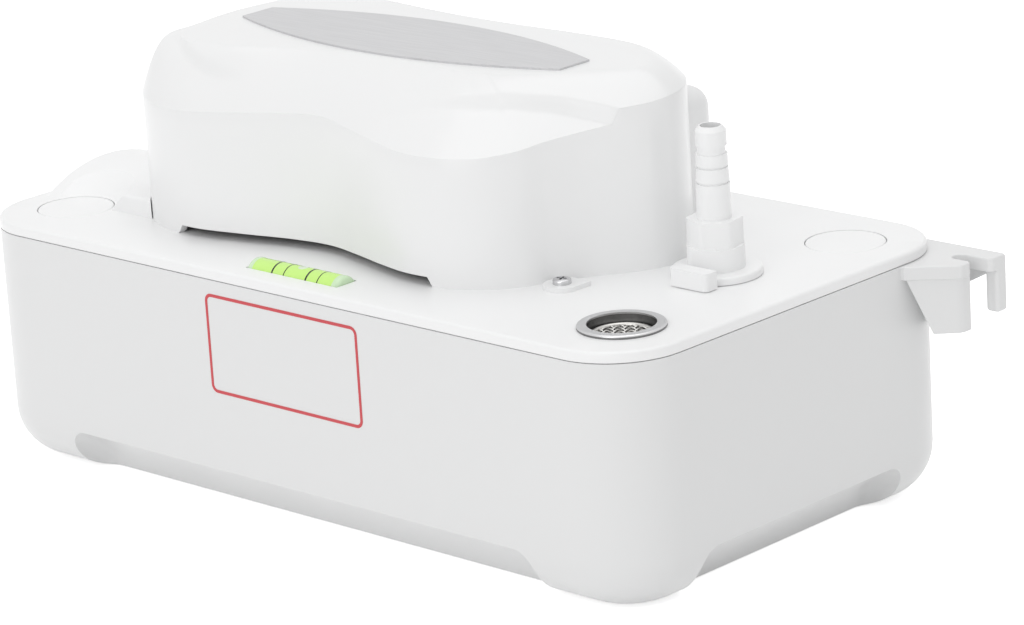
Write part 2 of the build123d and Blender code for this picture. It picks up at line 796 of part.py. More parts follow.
def make_casing():
    top = column_foot
    casing = cylinder(motor_x, motor_y, casing_low, top, casing_radius)
    spout = Pos(motor_x, motor_y, pipe_height) * Rot(0, 90, 0) * Cylinder(
        pipe_radius + casing_wall, casing_radius + spout_length, align=(Align.CENTER, Align.CENTER, Align.MIN))
    spout -= cylinder(motor_x, motor_y, top, top + 20, casing_radius + clearance)
    spout -= cylinder(motor_x, motor_y, casing_low - 20, casing_low, casing_radius + clearance)
    casing += spout
    casing -= cylinder(motor_x, motor_y, casing_low - 1, top - casing_wall, casing_radius - casing_wall - 1.5)
    casing -= cylinder(motor_x, motor_y, top - casing_wall - 1, top + 1, shaft_radius + 0.8)
    casing -= Pos(motor_x, motor_y, pipe_height) * Rot(0, 90, 0) * Cylinder(
        pipe_bore, half_length, align=(Align.CENTER, Align.CENTER, Align.MIN))
    casing -= Pos(motor_x + casing_radius + socket_start, motor_y, pipe_height) * Rot(0, 90, 0) * Cylinder(
        pipe_radius, half_length, align=(Align.CENTER, Align.CENTER, Align.MIN))
    return casing


def make_suction_cover():
    low = casing_low - suction_thickness
    cover = cylinder(motor_x, motor_y, low, casing_low, casing_radius)
    cover -= cylinder(motor_x, motor_y, low - 1, casing_low + 1, eye_radius)
    reach = casing_radius - suction_foot_radius - 0.8
    for i in range(suction_foot_count):
        turn = radians((i + 0.5) * 360 / suction_foot_count)
        cover += cylinder(motor_x + reach * cos(turn), motor_y + reach * sin(turn),
                          low - suction_feet, low, suction_foot_radius)
    return cover


def make_impeller():
    low = casing_low + impeller_lift
    shroud_low = low + blade_height - 0.2
    disc = cylinder(motor_x, motor_y, shroud_low, shroud_low + shroud_thickness, impeller_radius)
    disc += cylinder(motor_x, motor_y, low + hub_start, low + hub_start + hub_height,
                     shaft_radius + impeller_hub_wall)
    for i in range(impeller_blades):
        blade = Pos((impeller_radius + shaft_radius) / 2, 0, 0) * Rot(0, 0, blade_turn) * Box(
            impeller_radius - shaft_radius - 2 * blade_thickness, blade_thickness, blade_height,
            align=(Align.CENTER, Align.CENTER, Align.MIN))
        disc += Pos(motor_x, motor_y, low) * Rot(0, 0, i * 360 / impeller_blades) * blade
    return disc - cylinder(motor_x, motor_y, low - 5, low + 20, shaft_radius)


def make_pipe():
    """The discharge tube: out of the casing, round a bend and up to the outlet cup under the lid."""
    start = Vector(motor_x + casing_radius + socket_start + clearance, motor_y, pipe_height)
    corner_a = Vector((start.X + outlet_x) / 2, motor_y, pipe_height)
    corner_b = Vector(outlet_x, outlet_y, pipe_height)
    end = Vector(outlet_x, outlet_y, lid_low - cup_depth)
    path = FilletPolyline([start, corner_a, corner_b, end], radius=pipe_bend)
    outer = sweep(Plane(origin=path @ 0, z_dir=path % 0) * Circle(pipe_radius - 0.05), path=path)
    inner = sweep(Plane(origin=path @ 0, z_dir=path % 0) * Circle(pipe_bore), path=path)
    cup_low = lid_low - cup_depth
    cup = cylinder(outlet_x, outlet_y, cup_low - 2, lid_low - collar_seat, cup_radius)
    cup -= cylinder(outlet_x, outlet_y, cup_low, lid_low, spigot_radius + seal_proud)
    cup -= cylinder(outlet_x, outlet_y, ear_low() - clearance, lid_low, bayonet_radius + clearance)
    cup -= cylinder(outlet_x, outlet_y, cup_low - 3, cup_low + 1, pipe_bore)
    return outer + cup - inner


# Outlet

def make_outlet():
    """The bayonet collar and the hose adapter that is screwed into it."""
    low = lid_top + collar_lift
    disc = cylinder(outlet_x, outlet_y, low, low + collar_height, collar_radius)
    disc = fillet(disc.edges().group_by(Axis.Z)[-1], 0.7)
    neck = cylinder(outlet_x, outlet_y, low, hex_low, neck_radius)
    spigot_low = lid_low - cup_depth + 1.6
    spigot = cylinder(outlet_x, outlet_y, spigot_low, low, spigot_radius)
    lug_x = outlet_x + lug_start
    lug_y = outlet_y + lug_offset
    lug = block(lug_x, lug_x + lug_length, lug_y - lug_depth, lug_y, low, low + lug_height)
    lug += block(outlet_x, outlet_x + lug_web, lug_y - 1, outlet_y - lug_web, low, low + collar_height)
    lug = fillet(lug.edges().filter_by(Axis.Z).sort_by(Axis.Y)[:2], lug_round)
    ears = Pos(outlet_x, outlet_y, ear_low()) * Box(2 * bayonet_radius, bayonet_width, bayonet_height,
                                                  align=(Align.CENTER, Align.CENTER, Align.MIN))
    ears = ears & cylinder(outlet_x, outlet_y, ear_low(), lid_low, bayonet_radius)
    collar = disc + neck + spigot + lug + ears
    groove_z = spigot_low + 2.2
    collar -= tube(outlet_x, outlet_y, groove_z - ring_section, groove_z + ring_section,
                   spigot_radius + 2, spigot_radius - ring_section)
    collar -= cylinder(outlet_x, outlet_y, spigot_low - 1, low, seat_radius)
    collar -= cylinder(outlet_x, outlet_y, seat_z(), hex_low + 1, ball_room)
    ring = Pos(outlet_x, outlet_y, groove_z) * Torus(spigot_radius - 0.02, ring_section - 0.05)

    adapter = Pos(outlet_x, outlet_y, hex_low) * Rot(0, 0, hex_turn) * extrude(
        RegularPolygon(hex_flats / 2, 6, major_radius=False), hex_high - hex_low)
    adapter = adapter & cylinder(outlet_x, outlet_y, hex_low, hex_high, hex_flats / 2 * hex_chamfer_reach)
    stem = barb_profile()
    adapter += stem
    adapter += cylinder(outlet_x, outlet_y, hex_low - 1, hex_low, ball_room - 0.1)
    adapter -= cylinder(outlet_x, outlet_y, hex_low - 4, barb_tip + 1, barb_bore)
    return collar, ring, adapter


def seat_z():
    return lid_low - 1.0


def ear_low():
    """Underside of the two bayonet ears, which turn under the lid."""
    return lid_low - collar_seat - bayonet_height - clearance


def barb_profile():
    """The hose barb as one turned piece: long ridges with grooves between them, narrowing to the tip."""
    grooves = [(0.38, 0.018), (0.55, 0.018), (0.70, 0.083)]
    points = [(0, hex_high - 1), (barb_radius, hex_high - 1)]
    for i in range(len(grooves)):
        start, share = grooves[i]
        low = hex_high + barb_length * start
        high = low + barb_length * share
        taper = (barb_radius - barb_tip_radius) * start if i > 0 else 0
        radius = barb_radius - taper
        points += [(radius, low), (radius - barb_groove, low), (radius - barb_groove, high),
                   (radius - 0.05, high + 0.15)]
    points += [(barb_tip_radius, barb_tip - barb_tip_chamfer), (barb_tip_radius - barb_tip_chamfer * 0.8, barb_tip),
               (0, barb_tip)]
    face = make_face(Polyline([(r, 0, z) for r, z in points], close=True))
    return Pos(outlet_x, outlet_y, 0) * revolve(face, Axis.Z)


def make_ball():
    rest = seat_z() + ball_rest()
    return Pos(outlet_x, outlet_y, rest) * Sphere(ball_radius)


def ball_rest():
    """Height of the ball's centre above its seat's edge, a hair clear of it."""
    return sqrt(ball_radius ** 2 - seat_radius ** 2) + seat_gap


# Floats and switches

def rod_places():
    return [(run_pivot_x - lever_arm, run_pivot_y), (alarm_pivot_x + lever_arm, alarm_pivot_y)]


def make_arm(pivot_x, pivot_y, side, reach, float_top):
    """A float's lever: boss on the pin, a short pad under the push rod and a sloping bar to the float."""
    def at(distance, height):
        return (pivot_x + side * distance, height)

    pad = float_pivot_z + arm_pad
    pad_end = lever_arm + 2 * rod_radius
    points = [at(0, pad), at(pad_end, pad), at(pad_end, pad - arm_thickness),
              at(reach, float_top + 3), at(reach, float_top), at(reach - 8, float_top),
              at(0, float_pivot_z - arm_boss)]
    arm = xz_slab(points, pivot_y - arm_width / 2, pivot_y + arm_width / 2)
    place = Pos(pivot_x, pivot_y, float_pivot_z) * Rot(90, 0, 0)
    arm += place * Cylinder(arm_boss, arm_width)
    return arm - place * Cylinder(pin_radius + running_gap, arm_width + 2)


def make_float(pivot_x, pivot_y, side, reach, size, low):
    """A sealed hollow float with rounded edges, its far part under the arm's end."""
    length, width, height = size
    middle = pivot_x + side * reach
    body = Pos(middle, pivot_y, low) * Box(length, width, height, align=(Align.CENTER, Align.CENTER, Align.MIN))
    return fillet(body.edges(), 3.0)


def make_rod(x, y):
    low = float_pivot_z + arm_pad + rod_gap + rod_radius
    rod = cylinder(x, y, low, rod_top, rod_radius) + Pos(x, y, low) * Sphere(rod_radius)
    collar_low = lid_top + rod_collar_lift
    return rod + cylinder(x, y, collar_low, collar_low + rod_collar_thickness, rod_collar)


def make_pin(x, y):
    length = arm_width + 2 * pivot_play + 2 * pivot_lug
    return Pos(x, y, float_pivot_z) * Rot(90, 0, 0) * Cylinder(pin_radius, length)


def make_switch(x, y, side):
    """A snap-action switch over the push rod, and the bracket that holds it from behind."""
    low = rod_top + rod_rise + 0.6
    body = block(x - switch_length / 2, x + switch_length / 2, y - switch_width / 2, y + switch_width / 2,
                 low, low + switch_height)
    body = fillet(body.edges().filter_by(Axis.Y), 0.8)
    for step in (-1, 0, 1):
        middle = x + step * terminal_pitch
        body += block(middle - 0.4, middle + 0.4, y - bracket_sheet, y + bracket_sheet, low + switch_height,
                      low + switch_height + terminal_length)
    for step in (-0.5, 0.5):
        body -= Pos(x + step * switch_hole_pitch, y, low + 3 * switch_hole) * Rot(90, 0, 0) * Cylinder(
            switch_hole, 2 * switch_width)
    back = y + side * switch_width / 2
    edge = back + side * bracket_sheet
    plate = block(x - switch_length / 2, x + switch_length / 2, min(back, edge), max(back, edge),
                  lid_top, low + switch_height - bracket_sheet)
    foot_edge = back + side * bracket_foot
    plate += block(x - switch_length / 2, x + switch_length / 2, min(back, foot_edge), max(back, foot_edge),
                   lid_top, lid_top + bracket_sheet)
    return body, plate


# Every piece, saved under its own name

def main():
    save("tank", make_tank())
    save("tank_lid", make_lid())
    save("lid_gasket", make_gasket())
    vial, liquid = make_vial()
    save("level_vial", vial)
    save("vial_liquid", liquid)
    ring, strainer = make_inlet()
    save("inlet_ring", ring)
    save("inlet_strainer", strainer)
    save("port_plug_front_left", make_plug(-port_x, -port_y))
    save("port_plug_back_left", make_plug(-port_x, port_y))
    save("port_plug_back_right", make_plug(port_x, port_y))
    save("motor_cover", make_cover())
    save("cover_screws", make_cover_screws())
    save("cord_grommet", make_grommet())
    save("name_plate", make_name_plate())

    save("stator_core", make_stator())
    save("motor_coil", make_coil())
    save("shading_rings", make_shading_rings())
    lower_plate = lid_top + post_height
    upper_plate = stack_top + 3.0
    save("lower_bearing_bracket", make_motor_bracket(lower_plate - 2, lower_plate + bearing_length - 2,
                                                     lower_plate))
    save("upper_bearing_bracket", make_motor_bracket(upper_plate - 3, upper_plate + bearing_length - 3.5,
                                                     upper_plate))
    save("lower_bearing", tube(motor_x, motor_y, lower_plate - 2, lower_plate + bearing_length - 2,
                               bearing_radius, shaft_radius + running_gap))
    save("upper_bearing", tube(motor_x, motor_y, upper_plate - 3, upper_plate + bearing_length - 3.5,
                               bearing_radius, shaft_radius + running_gap))
    bracket_top = upper_plate + bracket_thickness
    save("motor_bolts", make_bolts(bracket_top))
    fan_low = upper_plate + bearing_length - 3.5 + 1.0
    shaft_low = casing_low + 3.2
    save("motor_shaft", cylinder(motor_x, motor_y, shaft_low, fan_low + fan_height + 2, shaft_radius))
    save("rotor_core", tube(motor_x, motor_y, stack_low + 0.5, stack_top - 0.5, rotor_radius, shaft_radius))
    save("cooling_fan", make_fan(fan_low))

    save("pump_column", make_column())
    save("volute_casing", make_casing())
    save("suction_cover", make_suction_cover())
    save("impeller", make_impeller())
    save("discharge_tube", make_pipe())

    collar, seal, adapter = make_outlet()
    save("outlet_collar", collar)
    save("outlet_o_ring", seal)
    save("hose_adapter", adapter)
    save("check_ball", make_ball())

    run_rod, alarm_rod = rod_places()
    run_top = run_float_z + run_float_size[2]
    alarm_top = alarm_float_z + alarm_float_size[2]
    save("run_float", make_float(run_pivot_x, run_pivot_y, -1, run_reach, run_float_size, run_float_z))
    save("run_float_arm", make_arm(run_pivot_x, run_pivot_y, -1, run_reach, run_top))
    save("run_float_pin", make_pin(run_pivot_x, run_pivot_y))
    save("run_push_rod", make_rod(*run_rod))
    run_switch, run_bracket = make_switch(run_rod[0], run_rod[1], 1)
    save("run_switch", run_switch)
    save("run_switch_bracket", run_bracket)
    save("alarm_float", make_float(alarm_pivot_x, alarm_pivot_y, 1, alarm_reach, alarm_float_size,
                                   alarm_float_z))
    save("alarm_float_arm", make_arm(alarm_pivot_x, alarm_pivot_y, 1, alarm_reach, alarm_top))
    save("alarm_float_pin", make_pin(alarm_pivot_x, alarm_pivot_y))
    save("alarm_push_rod", make_rod(*alarm_rod))
    alarm_switch, alarm_bracket = make_switch(alarm_rod[0], alarm_rod[1], -1)
    save("alarm_switch", alarm_switch)
    save("alarm_switch_bracket", alarm_bracket)


main()
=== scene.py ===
"""Looks of the condensate pump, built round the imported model. Metres, +Z up, in the model's own frame."""

from math import atan2, cos, pi, radians, sin, tau

import bpy
from mathutils import Matrix, Vector


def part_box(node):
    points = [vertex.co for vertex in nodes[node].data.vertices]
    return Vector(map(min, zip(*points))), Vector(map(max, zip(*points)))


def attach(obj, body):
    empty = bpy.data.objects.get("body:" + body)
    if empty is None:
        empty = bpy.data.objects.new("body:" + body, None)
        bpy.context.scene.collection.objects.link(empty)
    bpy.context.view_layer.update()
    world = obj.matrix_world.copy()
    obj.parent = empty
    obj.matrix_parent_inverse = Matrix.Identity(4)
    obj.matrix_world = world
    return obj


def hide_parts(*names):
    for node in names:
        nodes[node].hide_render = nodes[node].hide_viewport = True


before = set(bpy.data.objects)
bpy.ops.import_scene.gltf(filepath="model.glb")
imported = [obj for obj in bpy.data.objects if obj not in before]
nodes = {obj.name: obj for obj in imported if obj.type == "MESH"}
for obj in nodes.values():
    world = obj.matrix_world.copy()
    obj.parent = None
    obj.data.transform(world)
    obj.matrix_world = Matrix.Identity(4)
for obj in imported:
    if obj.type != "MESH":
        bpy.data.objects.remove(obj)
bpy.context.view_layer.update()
MM = 0.001

# Camera at the photograph's angle
CAMERA_PLACE = Vector((0.92384, -0.91996, 0.44744))
CAMERA_AZIMUTH = 44.331
CAMERA_ELEVATION = 16.961
CAMERA_ROLL = 3.478
CAMERA_LENS = 154.33

# Places of the main pieces, read from the model
tank_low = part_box("tank")[0]
cover_low, cover_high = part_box("motor_cover")
vial_low, vial_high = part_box("level_vial")
strainer_low, strainer_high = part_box("inlet_strainer")
ring_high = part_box("inlet_ring")[1]
LID_TOP = cover_low.z
COVER_TOP = cover_high.z

# Motor cover, in millimetres: outline as shares of half its length and half its width, the height of
# the crease above the lid with the ridge's drop left out, and the slope's run and fullness
COVER_CENTRE = (-1.0, -3.0)
COVER_HALF = (92.0, 50.0)
COVER_OUTLINE = [
    (-0.990, -0.400, 44.0, 11.0, 2.9), (-0.985, -0.660, 42.6, 12.0, 2.8),
    (-0.930, -0.830, 40.6, 15.0, 2.4), (-0.800, -0.955, 39.4, 19.0, 2.2),
    (-0.620, -1.000, 39.9, 22.0, 2.0), (-0.420, -0.930, 41.1, 23.0, 1.8),
    (-0.230, -0.845, 42.3, 21.0, 1.7), (-0.070, -0.815, 42.9, 20.0, 1.7),
    (0.080, -0.865, 41.5, 22.5, 1.6), (0.240, -0.940, 40.8, 27.0, 1.5),
    (0.390, -0.985, 40.8, 31.5, 1.45), (0.540, -0.955, 41.6, 33.0, 1.4),
    (0.655, -0.840, 42.4, 32.0, 1.4), (0.735, -0.680, 44.1, 28.0, 1.4),
    (0.780, -0.510, 46.0, 23.0, 1.5), (0.835, -0.330, 47.8, 19.0, 1.6),
    (0.905, -0.150, 49.6, 17.0, 1.7), (0.965, 0.040, 50.4, 15.0, 1.8),
    (0.980, 0.220, 51.3, 13.0, 2.0), (0.925, 0.440, 51.3, 13.0, 2.0),
    (0.800, 0.680, 50.3, 15.0, 2.0), (0.640, 0.880, 48.3, 18.0, 1.9),
    (0.340, 0.965, 46.3, 20.0, 1.9), (0.000, 0.970, 45.3, 20.0, 1.9),
    (-0.340, 0.970, 44.8, 20.0, 1.9), (-0.660, 0.955, 44.3, 18.0, 2.0),
    (-0.860, 0.830, 44.3, 13.0, 2.7), (-0.960, 0.560, 44.3, 10.0, 3.0),
    (-0.995, 0.200, 44.3, 9.5, 3.2), (-1.000, -0.110, 44.0, 9.5, 3.2),
]
COVER_SAMPLES = 480
WALL_ROWS = 6
CAP_ROWS = 52
CREASE_ROUND = 0.5
COVER_WALL = 2.4
COVER_CORE = 0.3
SLOPE_REACH = 0.7
ROW_CROWDING = 1.35
CREASE_INSET = 0.2
SLOT_LEFT = -65.0
SLOT_RIGHT = 43.5
SLOT_HEIGHT = 2.9
SLOT_STEP = 1.2
LOBE_LOW = (32.0, 14.0)
LOBE_HIGH = (76.0, 42.0)
LOBE_CORNER = 7.0
LOBE_EDGE = 0.8
LOBE_RISE = 45.3
UPRIGHT = 10.0
EARS = [(77.0, -31.5), (-64.0, 51.5), (22.0, 51.5)]
EAR_RADIUS = 5.6
EAR_HEIGHT = 1.4
EAR_EDGE = 0.4
EAR_REACH = 0.78

# Ridge on the cap's right, and the notch on its left shoulder: x, y, depth below it, width of the drop
RIDGE = [(14.0, -40.0, 0.0, 6.0), (21.7, -37.4, 0.5, 6.0), (30.0, -35.8, 1.2, 5.0),
         (37.5, -33.8, 1.9, 4.2), (45.3, -31.0, 2.5, 3.4), (53.5, -27.2, 3.0, 2.6),
         (60.1, -23.2, 3.4, 2.1), (65.3, -19.6, 3.6, 1.7), (70.0, -16.7, 3.9, 1.4),
         (75.1, -13.8, 4.1, 1.2), (80.8, -10.7, 4.2, 1.1), (87.0, -6.5, 4.2, 1.1), (97.0, 1.0, 4.2, 1.1)]
NOTCH = [(-82.5, -31.0, 0.0, 2.6), (-78.0, -34.6, 1.2, 2.2), (-73.4, -37.2, 2.0, 1.9),
         (-68.0, -39.8, 2.5, 1.8), (-62.0, -41.7, 2.6, 1.8), (-57.0, -42.3, 2.4, 1.9),
         (-52.5, -42.2, 2.0, 2.0), (-47.5, -41.4, 1.2, 2.2), (-41.0, -40.2, 0.0, 2.6)]
NOTCH_FADE = 11.0

# Level vial, in millimetres: its rings as place from the middle and width, its bubble and pale ends
VIAL_RINGS = [(-8.4, 0.6), (-3.4, 0.35), (6.0, 0.65), (10.9, 0.35)]
RING_LIFT = 0.04
BUBBLE_LENGTH = 9.5
BUBBLE_RADIUS = 2.1
BUBBLE_LIFT = 1.0
BUBBLE_SHIFT = 1.4
SLEEVE_LENGTH = 3.4
SLEEVE_LIFT = 0.03
VIAL_EDGE = 1.2
BUBBLE_PROUD = 0.06

# Wire mesh in the inlet, in millimetres
WIRE_STEP = 2.2
WIRE_RADIUS = 0.24
WIRE_WAVE = 0.26
RIM_RADIUS = 0.75
SHORTEST_WIRE = 1.0
MESH_DEPTH = 3.4
CUP_WALL = 0.5
CUP_GAP = 0.1

# Inlet ring: painted shade darkens its bore from just below the top
BORE_EDGE = 0.5
BORE_PAINTED_SHADE = (0.2, 0.2, 0.2)

# Sticker on the tank's front, in millimetres
STICKER_LEFT = -30.7
STICKER_RIGHT = 34.5
STICKER_LOW = 40.4
STICKER_HIGH = 71.9
STICKER_CORNER = 2.6
STICKER_LINE = 1.0
STICKER_FILM = 0.06
STICKER_THICKNESS = 0.054

# Shading of the carried-over nodes
WELD_REACH = 0.000002
EDGE_ANGLE = 28

# Floor glow as the camera and mirrors see it, and the world's light and look
FLOOR_GLOW = 0.62
WORLD_LIGHT = 0.62
WORLD_SEEN = 1.0


# Small helpers for modelling

def start_clean():
    if bpy.context.mode != "OBJECT":
        bpy.ops.object.mode_set(mode="OBJECT")
    bpy.ops.object.select_all(action="DESELECT")


def choose(piece):
    start_clean()
    piece.select_set(True)
    bpy.context.view_layer.objects.active = piece


def named(name):
    piece = bpy.context.active_object
    piece.name = name
    piece.data.name = name
    return piece


def settle(piece):
    """Applies the piece's place, turn and size to its mesh, so that its object sits at the origin."""
    choose(piece)
    bpy.ops.object.transform_apply(location=True, rotation=True, scale=True)
    return piece


def apply_modifiers(piece):
    choose(piece)
    for modifier in list(piece.modifiers):
        bpy.ops.object.modifier_apply(modifier=modifier.name)


def smooth(piece, angle=35.0):
    choose(piece)
    bpy.ops.object.shade_smooth_by_angle(angle=radians(angle))


def join(pieces, name):
    start_clean()
    for piece in pieces:
        piece.select_set(True)
    bpy.context.view_layer.objects.active = pieces[0]
    bpy.ops.object.join()
    return named(name)


def cylinder(name, place, radius, height, turn=(0, 0, 0), sides=96):
    start_clean()
    bpy.ops.mesh.primitive_cylinder_add(vertices=sides, radius=radius, depth=height, location=place,
                                        rotation=turn)
    return settle(named(name))


def block(name, low, high):
    start_clean()
    centre = (Vector(low) + Vector(high)) / 2
    bpy.ops.mesh.primitive_cube_add(size=1, location=centre)
    piece = named(name)
    piece.scale = Vector(high) - Vector(low)
    return settle(piece)


def bevel(piece, width, segments=3, angle=30.0):
    modifier = piece.modifiers.new("rounding", "BEVEL")
    modifier.width = width
    modifier.segments = segments
    modifier.limit_method = "ANGLE"
    modifier.angle_limit = radians(angle)
    apply_modifiers(piece)


def boolean(piece, tool, operation):
    modifier = piece.modifiers.new("cut", "BOOLEAN")
    modifier.operation = operation
    modifier.object = tool
    modifier.solver = "EXACT"
    apply_modifiers(piece)
    bpy.data.objects.remove(tool)


# Shader groups

def new_group(name, inputs, outputs):
    """A node group with named inputs (name, kind, value) and outputs (name, kind)."""
    group = bpy.data.node_groups.new(name, "ShaderNodeTree")
    for label, kind, value in inputs:
        socket = group.interface.new_socket(label, in_out="INPUT", socket_type=kind)
        if value is not None:
            socket.default_value = value
    for label, kind in outputs:
        group.interface.new_socket(label, in_out="OUTPUT", socket_type=kind)
    start = group.nodes.new("NodeGroupInput")
    end = group.nodes.new("NodeGroupOutput")
    return group, start, end


def add(tree, kind, **values):
    node = tree.nodes.new(kind)
    for key, value in values.items():
        setattr(node, key, value)
    return node


def maths(tree, operation, first, second):
    node = add(tree, "ShaderNodeMath", operation=operation)
    for index, value in enumerate((first, second)):
        if isinstance(value, (int, float)):
            node.inputs[index].default_value = value
        else:
            tree.links.new(value, node.inputs[index])
    return node.outputs[0]


def noise(tree, vector, scale, detail):
    node = add(tree, "ShaderNodeTexNoise")
    tree.links.new(vector, node.inputs["Vector"])
    if isinstance(scale, (int, float)):
        node.inputs["Scale"].default_value = scale
    else:
        tree.links.new(scale, node.inputs["Scale"])
    node.inputs["Detail"].default_value = detail
    return node.outputs["Fac"]


def mixed(tree, factor, first, second):
    node = add(tree, "ShaderNodeMix", data_type="RGBA")
    tree.links.new(factor, node.inputs["Factor"])
    for socket, value in ((node.inputs[6], first), (node.inputs[7], second)):
        if isinstance(value, tuple):
            socket.default_value = value
        else:
            tree.links.new(value, socket)
    return node.outputs[2]


def make_finish_group():
    """Moulded or cast skin: fine grain for the height, slow drift for the tone, faint rubbed patches."""
    group, start, end = new_group("skin", [
        ("Colour", "NodeSocketColor", (0.8, 0.8, 0.8, 1)),
        ("Drift colour", "NodeSocketColor", (0.7, 0.7, 0.7, 1)),
        ("Drift", "NodeSocketFloat", 0.3),
        ("Roughness", "NodeSocketFloat", 0.4),
        ("Rubbing", "NodeSocketFloat", 0.08),
        ("Grain size", "NodeSocketFloat", 1800.0),
    ], [("Colour", "NodeSocketColor"), ("Roughness", "NodeSocketFloat"), ("Height", "NodeSocketFloat")])
    place = add(group, "ShaderNodeTexCoord").outputs["Object"]
    grain = noise(group, place, start.outputs["Grain size"], 3.0)
    slow = noise(group, place, 14.0, 2.0)
    rubbed = noise(group, place, 130.0, 5.0)
    drift = maths(group, "MULTIPLY", slow, start.outputs["Drift"])
    tone = mixed(group, drift, start.outputs["Colour"], start.outputs["Drift colour"])
    centred = maths(group, "SUBTRACT", rubbed, 0.5)
    wear = maths(group, "MULTIPLY", centred, start.outputs["Rubbing"])
    rough = maths(group, "ADD", start.outputs["Roughness"], wear)
    group.links.new(tone, end.inputs["Colour"])
    group.links.new(rough, end.inputs["Roughness"])
    group.links.new(grain, end.inputs["Height"])
    return group


def make_lines_group():
    """Fine parallel lines along one axis, uneven in tone, as on brushed or stacked sheet metal."""
    group, start, end = new_group("fine lines", [
        ("Stretch", "NodeSocketVector", (1, 1, 1)),
        ("Colour", "NodeSocketColor", (0.6, 0.6, 0.6, 1)),
        ("Line colour", "NodeSocketColor", (0.4, 0.4, 0.4, 1)),
        ("Roughness", "NodeSocketFloat", 0.35),
    ], [("Colour", "NodeSocketColor"), ("Roughness", "NodeSocketFloat"), ("Height", "NodeSocketFloat")])
    place = add(group, "ShaderNodeTexCoord").outputs["Object"]
    stretched = add(group, "ShaderNodeVectorMath", operation="MULTIPLY")
    group.links.new(place, stretched.inputs[0])
    group.links.new(start.outputs["Stretch"], stretched.inputs[1])
    lines = noise(group, stretched.outputs[0], 1.0, 4.0)
    contrast = add(group, "ShaderNodeValToRGB")
    contrast.color_ramp.elements[0].position = 0.35
    contrast.color_ramp.elements[1].position = 0.65
    group.links.new(lines, contrast.inputs[0])
    tone = mixed(group, contrast.outputs[0], start.outputs["Colour"], start.outputs["Line colour"])
    uneven = maths(group, "MULTIPLY", lines, 0.15)
    rough = maths(group, "ADD", start.outputs["Roughness"], uneven)
    group.links.new(tone, end.inputs["Colour"])
    group.links.new(rough, end.inputs["Roughness"])
    group.links.new(contrast.outputs[0], end.inputs["Height"])
    return group


SKIN = make_finish_group()
LINES = make_lines_group()


def new_material(name):
    material = bpy.data.materials.new(name)
    material.use_nodes = True
    tree = material.node_tree
    return material, tree, tree.nodes["Principled BSDF"]


def set_bump(tree, shader, height, depth):
    bump = add(tree, "ShaderNodeBump")
    bump.inputs["Strength"].default_value = 1.0
    bump.inputs["Distance"].default_value = depth
    tree.links.new(height, bump.inputs["Height"])
    tree.links.new(bump.outputs["Normal"], shader.inputs["Normal"])


def skin_material(name, colour, drift_colour, roughness, drift=0.35, rubbing=0.08, grain=1800.0,
                  depth=0.00001, metallic=0.0):
    material, tree, shader = new_material(name)
    skin = add(tree, "ShaderNodeGroup", node_tree=SKIN)
    skin.inputs["Colour"].default_value = (*colour, 1)
    skin.inputs["Drift colour"].default_value = (*drift_colour, 1)
    skin.inputs["Drift"].default_value = drift
    skin.inputs["Roughness"].default_value = roughness
    skin.inputs["Rubbing"].default_value = rubbing
    skin.inputs["Grain size"].default_value = grain
    tree.links.new(skin.outputs["Colour"], shader.inputs["Base Color"])
    tree.links.new(skin.outputs["Roughness"], shader.inputs["Roughness"])
    set_bump(tree, shader, skin.outputs["Height"], depth)
    shader.inputs["Metallic"].default_value = metallic
    return material


def lines_material(name, colour, line_colour, stretch, roughness, metallic=1.0, depth=0.00002):
    material, tree, shader = new_material(name)
    lines = add(tree, "ShaderNodeGroup", node_tree=LINES)
    lines.inputs["Stretch"].default_value = stretch
    lines.inputs["Colour"].default_value = (*colour, 1)
    lines.inputs["Line colour"].default_value = (*line_colour, 1)
    lines.inputs["Roughness"].default_value = roughness
    tree.links.new(lines.outputs["Colour"], shader.inputs["Base Color"])
    tree.links.new(lines.outputs["Roughness"], shader.inputs["Roughness"])
    set_bump(tree, shader, lines.outputs["Height"], depth)
    shader.inputs["Metallic"].default_value = metallic
    return material


# One white plastic in three copies: the lid's and the cover's are lighter as painted top light, the tank's
# darker as painted side shade.
WHITE = skin_material("white shell plastic, painted side shade", (0.8, 0.803, 0.805), (0.785, 0.787, 0.785), 0.36)
TOP_LIT_LID_WHITE = skin_material("white lid plastic, painted top light", (0.92, 0.923, 0.925), (0.9, 0.903, 0.903), 0.34)
TOP_LIT_COVER_WHITE = skin_material("white cover plastic, painted top light", (0.88, 0.883, 0.885), (0.865, 0.868, 0.868), 0.3)
INNER = skin_material("natural inner plastic", (0.75, 0.75, 0.72), (0.68, 0.68, 0.64), 0.45)
BLACK = skin_material("black plastic", (0.025, 0.026, 0.028), (0.05, 0.05, 0.055), 0.42, grain=1200.0)
SEAL = skin_material("grey seal rubber", (0.24, 0.24, 0.24), (0.2, 0.2, 0.2), 0.6, grain=900.0)
RUBBER = skin_material("black rubber", (0.03, 0.03, 0.031), (0.06, 0.058, 0.055), 0.62, grain=900.0)
STEEL = skin_material("bright steel", (0.62, 0.62, 0.63), (0.52, 0.52, 0.54), 0.24, rubbing=0.15,
                      metallic=1.0)
RING_METAL = skin_material("satin ring metal", (0.64, 0.64, 0.645), (0.56, 0.56, 0.57), 0.34, rubbing=0.2,
                           grain=2600.0, metallic=1.0)
LAMINATED = lines_material("stacked core sheets", (0.33, 0.33, 0.35), (0.16, 0.16, 0.17), (30, 30, 4200), 0.4)
COPPER = skin_material("copper", (0.86, 0.45, 0.28), (0.7, 0.34, 0.2), 0.28, rubbing=0.15, metallic=1.0)
BRONZE = skin_material("sintered bronze", (0.55, 0.36, 0.18), (0.4, 0.26, 0.13), 0.5, grain=2400.0,
                       metallic=1.0)
PLATE = lines_material("satin name plate", (0.58, 0.58, 0.59), (0.64, 0.64, 0.65), (60, 2600, 60), 0.42,
                       metallic=0.35, depth=0.000006)
